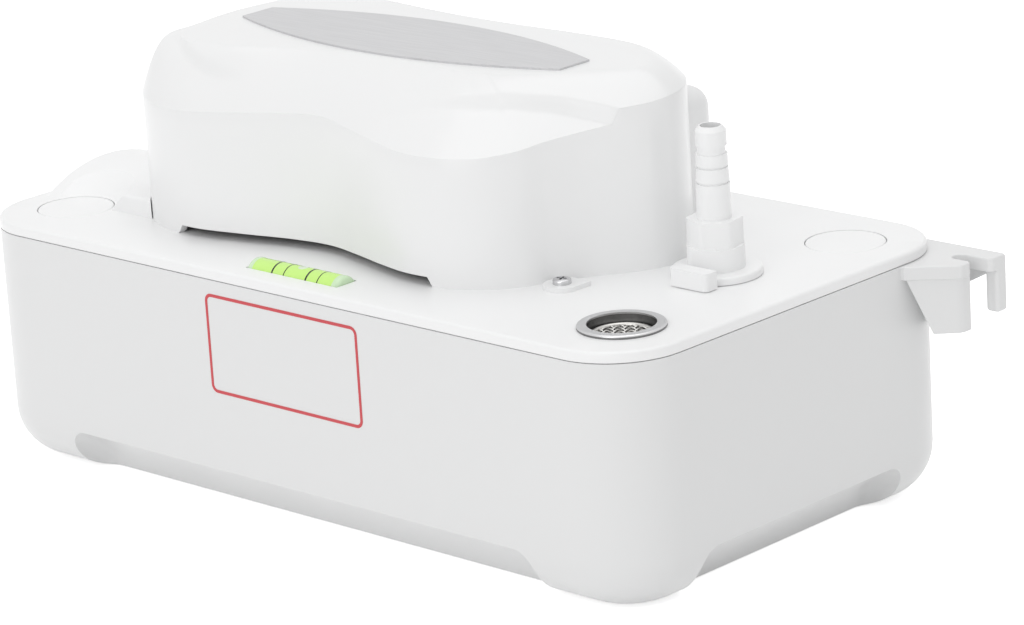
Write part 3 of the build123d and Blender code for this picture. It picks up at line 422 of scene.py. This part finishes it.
TAPE = lines_material("coil tape", (0.75, 0.6, 0.2), (0.62, 0.47, 0.14), (500, 20, 900), 0.45, metallic=0.0)
FOAM = skin_material("float plastic", (0.8, 0.79, 0.74), (0.7, 0.68, 0.62), 0.55, grain=700.0, depth=0.00005)
STICKER_RED = skin_material("red print", (0.62, 0.045, 0.06), (0.55, 0.05, 0.06), 0.3, rubbing=0.05)
RING_BLACK = skin_material("black ring ink", (0.015, 0.015, 0.015), (0.03, 0.03, 0.03), 0.3)


VIAL_GLASS = skin_material("tinted vial", (0.62, 0.95, 0.24), (0.56, 0.9, 0.2), 0.08, rubbing=0.03,
                           depth=0.000002)
VIAL_END = skin_material("frosted vial end", (0.66, 0.85, 0.58), (0.62, 0.84, 0.52), 0.2, rubbing=0.05)
BUBBLE_PALE = skin_material("air bubble", (0.74, 0.84, 0.68), (0.66, 0.84, 0.56), 0.05, rubbing=0.02,
                            depth=0.000002)
MESH_WIRE = skin_material("mesh wire", (0.6, 0.59, 0.57), (0.45, 0.44, 0.42), 0.32, rubbing=0.2, grain=3000.0,
                          metallic=1.0)
# Near-black metal for the strainer cup's inner faces: painted shade in the hollow under the mesh.
CUP_PAINTED_SHADE_METAL = skin_material("shaded metal", (0.05, 0.05, 0.05), (0.035, 0.035, 0.035), 0.5, rubbing=0.2,
                           metallic=1.0)


def paint_shade_below(material, height, dark):
    """Mixes a darker tone into a material below a height: painted shade, as inside a deep bore."""
    tree = material.node_tree
    shader = tree.nodes["Principled BSDF"]
    tone = shader.inputs["Base Color"].links[0].from_socket
    place = add(tree, "ShaderNodeTexCoord").outputs["Object"]
    parts = add(tree, "ShaderNodeSeparateXYZ")
    tree.links.new(place, parts.inputs[0])
    below = maths(tree, "LESS_THAN", parts.outputs["Z"], height)
    tree.links.new(mixed(tree, below, tone, (*dark, 1)), shader.inputs["Base Color"])


# Painted shade: the ring's metal turns dark below a line just under its top edge, standing in for the shade
# in the bore.
paint_shade_below(RING_METAL, ring_high.z - BORE_EDGE * MM, BORE_PAINTED_SHADE)


# Carried-over nodes

def dress(names, material):
    """Gives each node its finish. Weld and Edge Split only change how its facets are shaded."""
    for name in names:
        node = nodes[name]
        node.data.materials.clear()
        node.data.materials.append(material)
        for polygon in node.data.polygons:
            polygon.use_smooth = True
        weld = node.modifiers.new("weld", "WELD")
        weld.merge_threshold = WELD_REACH
        split = node.modifiers.new("edges", "EDGE_SPLIT")
        split.split_angle = radians(EDGE_ANGLE)


dress(["tank"], WHITE)
dress(["tank_lid"], TOP_LIT_LID_WHITE)
dress(["port_plug_front_left", "port_plug_back_left", "port_plug_back_right", "outlet_collar",
       "hose_adapter"], TOP_LIT_LID_WHITE)
dress(["inlet_ring"], RING_METAL)
dress(["name_plate"], PLATE)
dress(["cover_screws", "motor_bolts", "motor_shaft", "run_float_pin", "alarm_float_pin",
       "lower_bearing_bracket", "upper_bearing_bracket", "run_switch_bracket", "alarm_switch_bracket"], STEEL)
dress(["vial_liquid"], VIAL_GLASS)
dress(["stator_core", "rotor_core"], LAMINATED)
dress(["shading_rings"], COPPER)
dress(["lower_bearing", "upper_bearing"], BRONZE)
dress(["motor_coil"], TAPE)
dress(["lid_gasket"], SEAL)
dress(["cord_grommet", "outlet_o_ring", "check_ball"], RUBBER)
dress(["run_float", "alarm_float"], FOAM)
dress(["impeller", "cooling_fan", "run_switch", "alarm_switch"], BLACK)
dress(["pump_column", "volute_casing", "suction_cover", "discharge_tube", "run_float_arm",
       "alarm_float_arm", "run_push_rod", "alarm_push_rod"], INNER)


# Motor cover

def spline(values, count):
    """Values along a closed smooth curve through the given rows, evenly in the curve's own measure."""
    rows = len(values)
    out = []
    for i in range(count):
        share = i * rows / count
        k = int(share)
        t = share - k
        near = [values[(k + j - 1) % rows] for j in range(4)]
        weights = (-0.5 * t + t * t - 0.5 * t ** 3, 1 - 2.5 * t * t + 1.5 * t ** 3,
                   0.5 * t + 2 * t * t - 1.5 * t ** 3, -0.5 * t * t + 0.5 * t ** 3)
        out.append([sum(w * row[c] for w, row in zip(weights, near)) for c in range(len(values[0]))])
    return out


def soft_step(value):
    value = min(max(value, 0.0), 1.0)
    return value * value * (3 - 2 * value)


def beside(path, x, y):
    """The signed distance from a path, positive on its -Y side, and the path's last two values there."""
    best = None
    for a, b in zip(path, path[1:]):
        along = (b[0] - a[0], b[1] - a[1])
        size = along[0] ** 2 + along[1] ** 2
        share = ((x - a[0]) * along[0] + (y - a[1]) * along[1]) / size
        clipped = min(max(share, 0.0), 1.0)
        gap = Vector((x - a[0] - clipped * along[0], y - a[1] - clipped * along[1]))
        if best is None or gap.length < best[0]:
            side = 1 if along[1] * (x - a[0]) - along[0] * (y - a[1]) > 0 else -1
            depth = a[2] + (b[2] - a[2]) * clipped
            width = a[3] + (b[3] - a[3]) * clipped
            best = (gap.length, side, depth, width)
    return best[0] * best[1], best[2], best[3]


def relief(x, y):
    """How far the cap lies below its plain dome at a point: the shelf under the ridge, and the notch."""
    distance, depth, width = beside(RIDGE, x, y)
    drop = depth * soft_step(distance / width) if x > RIDGE[0][0] else 0.0
    distance, depth, width = beside(NOTCH, x, y)
    if distance > 0:
        fade = max(0.0, 1 - distance / NOTCH_FADE)
        drop += depth * soft_step(distance / width) * soft_step(fade)
    return drop


def cover_profile():
    """Outline points with their inward direction, crease height, run and fullness, in millimetres."""
    rows = spline(COVER_OUTLINE, COVER_SAMPLES)
    points = [(COVER_CENTRE[0] + u * COVER_HALF[0], COVER_CENTRE[1] + v * COVER_HALF[1]) for u, v, *_ in rows]
    out = []
    for i, (x, y) in enumerate(points):
        before = points[i - 1]
        after = points[(i + 1) % COVER_SAMPLES]
        along = Vector((after[0] - before[0], after[1] - before[1])).normalized()
        out.append((x, y, -along.y, along.x, *rows[i][2:]))
    return out


def cap_place(point, share):
    """A place on the cap, from the crease at share 0 towards the middle, and its distance from the crease."""
    x, y, in_x, in_y, rise, run, power = point
    near = (x + in_x * run * SLOPE_REACH, y + in_y * run * SLOPE_REACH)
    core = (COVER_CENTRE[0] + (x - COVER_CENTRE[0]) * COVER_CORE,
            COVER_CENTRE[1] + (y - COVER_CENTRE[1]) * COVER_CORE)
    weights = ((1 - share) ** 2, 2 * share * (1 - share), share ** 2)
    place_x = weights[0] * x + weights[1] * near[0] + weights[2] * core[0]
    place_y = weights[0] * y + weights[1] * near[1] + weights[2] * core[1]
    return place_x, place_y, Vector((place_x - x, place_y - y)).length


def cover_place(point, row):
    """A point of the cover's skin in millimetres: wall rows from the lid to the crease, then cap rows."""
    x, y, in_x, in_y, rise, run, power = point
    lid = LID_TOP / MM
    top = COVER_TOP / MM
    if row < WALL_ROWS:
        in_slot = min(x - SLOT_LEFT, SLOT_RIGHT - x) if y < COVER_CENTRE[1] else -1
        foot = lid + SLOT_HEIGHT * min(max(in_slot / SLOT_STEP, 0.0), 1.0)
        share = row / (WALL_ROWS - 1)
        return x, y, foot + (lid + rise - relief(x, y) - CREASE_ROUND - foot) * share
    share = ((row - WALL_ROWS) / CAP_ROWS) ** ROW_CROWDING
    place_x, place_y, distance = cap_place(point, share)
    if row == WALL_ROWS:
        place_x = x + in_x * CREASE_INSET
        place_y = y + in_y * CREASE_INSET
    slope = 1 - max(0.0, 1 - distance / run) ** power
    lift = lid + rise + (top - lid - rise) * slope
    return place_x, place_y, lift - relief(place_x, place_y)


def make_cover_skin():
    """The moulded skin: waved wall, crisp crease, sloping cap with its ridge, notch and slot."""
    profile = cover_profile()
    start_clean()
    bpy.ops.mesh.primitive_circle_add(vertices=COVER_SAMPLES, radius=1, fill_type="NOTHING")
    shell = named("motor_cover_shell")
    bpy.ops.object.mode_set(mode="EDIT")
    bpy.ops.mesh.select_all(action="SELECT")
    for _ in range(WALL_ROWS + CAP_ROWS):
        bpy.ops.mesh.extrude_region_move(TRANSFORM_OT_translate={"value": (0, 0, 1)})
    bpy.ops.mesh.edge_face_add()
    bpy.ops.object.mode_set(mode="OBJECT")
    for vertex in shell.data.vertices:
        angle = atan2(vertex.co.y, vertex.co.x) % tau
        point = profile[round(angle / tau * COVER_SAMPLES) % COVER_SAMPLES]
        vertex.co = Vector(cover_place(point, round(vertex.co.z))) * MM
    choose(shell)
    bpy.ops.object.mode_set(mode="EDIT")
    bpy.ops.mesh.select_all(action="SELECT")
    bpy.ops.mesh.normals_make_consistent(inside=False)
    bpy.ops.object.mode_set(mode="OBJECT")
    wall = shell.modifiers.new("wall", "SOLIDIFY")
    wall.thickness = COVER_WALL * MM
    wall.offset = -1
    apply_modifiers(shell)
    return shell


def make_cover_lobe():
    """The rounded box that stands out of the cover's back, over the motor's end."""
    lobe = block("lobe", (LOBE_LOW[0] * MM, LOBE_LOW[1] * MM, LID_TOP),
                 (LOBE_HIGH[0] * MM, LOBE_HIGH[1] * MM, LID_TOP + LOBE_RISE * MM))
    start_clean()
    choose(lobe)
    bpy.ops.object.mode_set(mode="EDIT")
    bpy.ops.mesh.select_all(action="DESELECT")
    bpy.ops.object.mode_set(mode="OBJECT")
    for edge in lobe.data.edges:
        ends = [lobe.data.vertices[i].co for i in edge.vertices]
        edge.select = abs(ends[0].z - ends[1].z) > UPRIGHT * MM
    bpy.ops.object.mode_set(mode="EDIT")
    bpy.ops.mesh.select_mode(type="EDGE")
    bpy.ops.mesh.bevel(offset=LOBE_CORNER * MM, segments=10)
    bpy.ops.object.mode_set(mode="OBJECT")
    bevel(lobe, LOBE_EDGE * MM, 4, 50)
    return lobe


def make_cover_ear(x, y):
    """A flat lug at the cover's foot with a round end, under a screw."""
    ear = cylinder("ear", (x * MM, y * MM, LID_TOP + EAR_HEIGHT / 2 * MM), EAR_RADIUS * MM, EAR_HEIGHT * MM)
    toward = COVER_CENTRE[1] + (y - COVER_CENTRE[1]) * EAR_REACH
    strap = block("strap", ((x - EAR_RADIUS) * MM, min(y, toward) * MM, LID_TOP),
                  ((x + EAR_RADIUS) * MM, max(y, toward) * MM, LID_TOP + EAR_HEIGHT * MM))
    boolean(ear, strap, "UNION")
    bevel(ear, EAR_EDGE * MM, 2, 50)
    return ear


def make_cover():
    """The whole motor cover as one piece."""
    parts = [make_cover_skin(), make_cover_lobe()] + [make_cover_ear(x, y) for x, y in EARS]
    shell = join(parts, "motor_cover_shell")
    smooth(shell, 35)
    shell.data.materials.clear()
    shell.data.materials.append(TOP_LIT_COVER_WHITE)
    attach(shell, "head")
    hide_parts("motor_cover")


make_cover()


# Level vial

def make_vial():
    """The tinted tube with pale ends, four ring lines and the bubble under its top."""
    centre = (vial_low + vial_high) / 2
    along = "x" if vial_high.x - vial_low.x > vial_high.y - vial_low.y else "y"
    turn = (0, pi / 2, 0) if along == "x" else (pi / 2, 0, 0)
    step = Vector((1, 0, 0)) if along == "x" else Vector((0, 1, 0))
    length = max(vial_high.x - vial_low.x, vial_high.y - vial_low.y)
    radius = (vial_high.z - vial_low.z) / 2
    tube = cylinder("vial_tube", centre, radius, length, turn)
    bevel(tube, VIAL_EDGE * MM, 4, 50)
    smooth(tube, 40)
    tube.data.materials.append(VIAL_GLASS)
    sleeves = []
    for side in (-1, 1):
        middle = centre + step * side * (length / 2 + (SLEEVE_LIFT - SLEEVE_LENGTH / 2) * MM)
        sleeve = cylinder("sleeve", middle, radius + SLEEVE_LIFT * MM, SLEEVE_LENGTH * MM, turn)
        bevel(sleeve, VIAL_EDGE * MM, 4, 50)
        sleeves.append(sleeve)
    ends = join(sleeves, "vial_ends")
    smooth(ends, 40)
    ends.data.materials.clear()
    ends.data.materials.append(VIAL_END)
    rings = []
    for place, width in VIAL_RINGS:
        ring = cylinder("ring", centre + step * place * MM, radius + RING_LIFT * MM, width * MM, turn)
        rings.append(ring)
    marks = join(rings, "vial_rings")
    smooth(marks, 40)
    marks.data.materials.clear()
    marks.data.materials.append(RING_BLACK)
    bpy.ops.mesh.primitive_uv_sphere_add(segments=48, ring_count=24, radius=1, location=(
        centre + step * BUBBLE_SHIFT * MM + Vector((0, 0, radius - BUBBLE_LIFT * MM))))
    bubble = named("vial_bubble")
    bubble.scale = (Vector((1, 1, 1)) * BUBBLE_RADIUS + step * (BUBBLE_LENGTH / 2 - BUBBLE_RADIUS)) * MM
    bubble.scale.z = (BUBBLE_LIFT + BUBBLE_PROUD) * MM
    settle(bubble)
    smooth(bubble, 60)
    bubble.data.materials.append(BUBBLE_PALE)
    for piece in (tube, ends, marks, bubble):
        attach(piece, "head")
    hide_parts("level_vial")


make_vial()


# Wire mesh in the inlet

def wave_wire(name, start, end, flip):
    """One wire of the weave, from start to end, over and under its neighbours."""
    run = end - start
    count = max(2, round(run.length / (WIRE_STEP * MM) * 4))
    line = bpy.data.curves.new(name, "CURVE")
    line.dimensions = "3D"
    line.bevel_depth = WIRE_RADIUS * MM
    line.bevel_resolution = 1
    bow = line.splines.new("POLY")
    bow.points.add(count)
    axis = 0 if abs(run.x) > abs(run.y) else 1
    for index, point in enumerate(bow.points):
        place = start + run * index / count
        wave = sin(place[axis] / (WIRE_STEP * MM) * pi) * flip
        point.co = (place.x, place.y, place.z + wave * WIRE_WAVE * MM, 1)
    return line


def make_strainer():
    """A cup with a woven wire top in a round wire rim, in the place of the strainer. The cup's inner faces
    carry painted shade.
    """
    centre = (strainer_low + strainer_high) / 2
    radius = (strainer_high.x - strainer_low.x) / 2
    top = ring_high.z - MESH_DEPTH * MM
    wires = []
    reach = int(radius / MM / WIRE_STEP)
    for index in range(-reach, reach + 1):
        offset = (index + 0.5) * WIRE_STEP * MM
        half = (max(0.0, (radius - RIM_RADIUS * MM) ** 2 - offset ** 2)) ** 0.5
        if half < SHORTEST_WIRE * MM:
            continue
        flip = 1 if index % 2 else -1
        for across in (0, 1):
            start = Vector((-half, offset, 0)) if across else Vector((offset, -half, 0))
            end = Vector((half, offset, 0)) if across else Vector((offset, half, 0))
            line = wave_wire("wire", start, end, flip if across else -flip)
            wire = bpy.data.objects.new("wire", line)
            bpy.context.collection.objects.link(wire)
            wires.append(wire)
    start_clean()
    for wire in wires:
        wire.select_set(True)
    bpy.context.view_layer.objects.active = wires[0]
    bpy.ops.object.convert(target="MESH")
    bpy.ops.object.join()
    weave = named("inlet_mesh")
    weave.location = (centre.x, centre.y, top)
    settle(weave)
    start_clean()
    bpy.ops.mesh.primitive_torus_add(location=(centre.x, centre.y, top),
                                     major_radius=radius - RIM_RADIUS * MM, minor_radius=RIM_RADIUS * MM,
                                     major_segments=96, minor_segments=16)
    rim = settle(named("rim"))
    weave = join([weave, rim], "inlet_mesh")
    smooth(weave, 60)
    weave.data.materials.clear()
    weave.data.materials.append(MESH_WIRE)
    middle = (centre.x, centre.y, (top + strainer_low.z) / 2)
    cup = cylinder("inlet_cup", middle, radius - CUP_GAP * MM, top - strainer_low.z)
    hollow = cylinder("hollow", (middle[0], middle[1], middle[2] + CUP_WALL * MM),
                      radius - (CUP_GAP + CUP_WALL) * MM, top - strainer_low.z)
    boolean(cup, hollow, "DIFFERENCE")
    smooth(cup, 40)
    cup.data.materials.clear()
    cup.data.materials.append(CUP_PAINTED_SHADE_METAL)
    cup.data.materials.append(MESH_WIRE)
    # Outward and downward faces get the wire's metal; the inner faces keep the painted shade.
    for polygon in cup.data.polygons:
        outward = Vector((polygon.center.x - centre.x, polygon.center.y - centre.y, 0))
        if polygon.normal.dot(outward) > 0 or polygon.normal.z < -0.5:
            polygon.material_index = 1
    for piece in (weave, cup):
        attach(piece, "strainer")
    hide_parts("inlet_strainer")


make_strainer()


# Sticker on the front of the tank

def make_sticker():
    """The printed red outline of a clear film sticker; the film itself is not made. Its words are left out.
    """
    front = tank_low.y
    start_clean()
    bpy.ops.mesh.primitive_plane_add(size=1, rotation=(pi / 2, 0, 0), location=(
        (STICKER_LEFT + STICKER_RIGHT) / 2 * MM, front - STICKER_FILM * MM,
        (STICKER_LOW + STICKER_HIGH) / 2 * MM))
    frame_line = named("sticker_outline")
    frame_line.scale = ((STICKER_RIGHT - STICKER_LEFT) * MM, (STICKER_HIGH - STICKER_LOW) * MM, 1)
    settle(frame_line)
    bpy.ops.object.mode_set(mode="EDIT")
    bpy.ops.mesh.select_all(action="SELECT")
    bpy.ops.mesh.bevel(offset=STICKER_CORNER * MM, segments=8, affect="VERTICES")
    bpy.ops.mesh.select_all(action="SELECT")
    bpy.ops.mesh.inset(thickness=STICKER_LINE * MM)
    bpy.ops.mesh.delete(type="FACE")
    bpy.ops.object.mode_set(mode="OBJECT")
    film = frame_line.modifiers.new("film", "SOLIDIFY")
    film.thickness = STICKER_THICKNESS * MM
    film.offset = 0
    apply_modifiers(frame_line)
    frame_line.data.materials.append(STICKER_RED)
    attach(frame_line, "tank")


make_sticker()


# Stage

def make_floor():
    start_clean()
    bpy.ops.mesh.primitive_plane_add(size=8, location=(0, 0, -0.0002))
    floor = named("floor")
    material, tree, shader = new_material("pale floor")
    shader.inputs["Base Color"].default_value = (0.93, 0.93, 0.93, 1)
    shader.inputs["Roughness"].default_value = 0.9
    path = add(tree, "ShaderNodeLightPath")
    seen = maths(tree, "MAXIMUM", path.outputs["Is Camera Ray"], path.outputs["Is Glossy Ray"])
    seen = maths(tree, "MAXIMUM", seen, path.outputs["Is Transmission Ray"])
    glow = maths(tree, "MULTIPLY", seen, FLOOR_GLOW)
    shader.inputs["Emission Color"].default_value = (1, 1, 1, 1)
    tree.links.new(glow, shader.inputs["Emission Strength"])
    floor.data.materials.append(material)


def make_world():
    world = bpy.data.worlds.new("studio")
    bpy.context.scene.world = world
    world.use_nodes = True
    tree = world.node_tree
    background = tree.nodes["Background"]
    path = add(tree, "ShaderNodeLightPath")
    seen = maths(tree, "MAXIMUM", path.outputs["Is Camera Ray"], path.outputs["Is Glossy Ray"])
    seen = maths(tree, "MAXIMUM", seen, path.outputs["Is Transmission Ray"])
    strength = add(tree, "ShaderNodeMix", data_type="FLOAT")
    tree.links.new(seen, strength.inputs["Factor"])
    strength.inputs[2].default_value = WORLD_LIGHT
    strength.inputs[3].default_value = WORLD_SEEN
    background.inputs["Color"].default_value = (1, 1, 1, 1)
    tree.links.new(strength.outputs[0], background.inputs["Strength"])


def make_lamp(name, place, aim, size, power):
    start_clean()
    bpy.ops.object.light_add(type="AREA", location=place)
    lamp = bpy.context.active_object
    lamp.name = name
    lamp.data.energy = power
    lamp.data.size = size
    lamp.rotation_mode = "QUATERNION"
    lamp.rotation_quaternion = (Vector(aim) - Vector(place)).to_track_quat("-Z", "Y")


def make_camera():
    start_clean()
    bpy.ops.object.camera_add(location=CAMERA_PLACE)
    camera = bpy.context.active_object
    camera.name = "photograph_camera"
    azimuth = radians(CAMERA_AZIMUTH)
    elevation = radians(CAMERA_ELEVATION)
    forward = Vector((-sin(azimuth) * cos(elevation), cos(azimuth) * cos(elevation), -sin(elevation)))
    camera.rotation_mode = "QUATERNION"
    level = forward.to_track_quat("-Z", "Y")
    camera.rotation_quaternion = level @ Matrix.Rotation(-radians(CAMERA_ROLL), 4, "Z").to_quaternion()
    camera.data.lens = CAMERA_LENS
    camera.data.sensor_width = 36
    camera.data.clip_start = 0.01
    camera.data.clip_end = 50
    bpy.context.scene.camera = camera


make_floor()
make_world()
make_lamp("overhead softbox", (0, 0.2, 3), (0, 0, 0.05), 3, 31)
make_lamp("front softbox", (0.6, -3, 1.2), (0, 0, 0.06), 2, 20)
make_camera()
bpy.context.scene.view_settings.view_transform = "Standard"
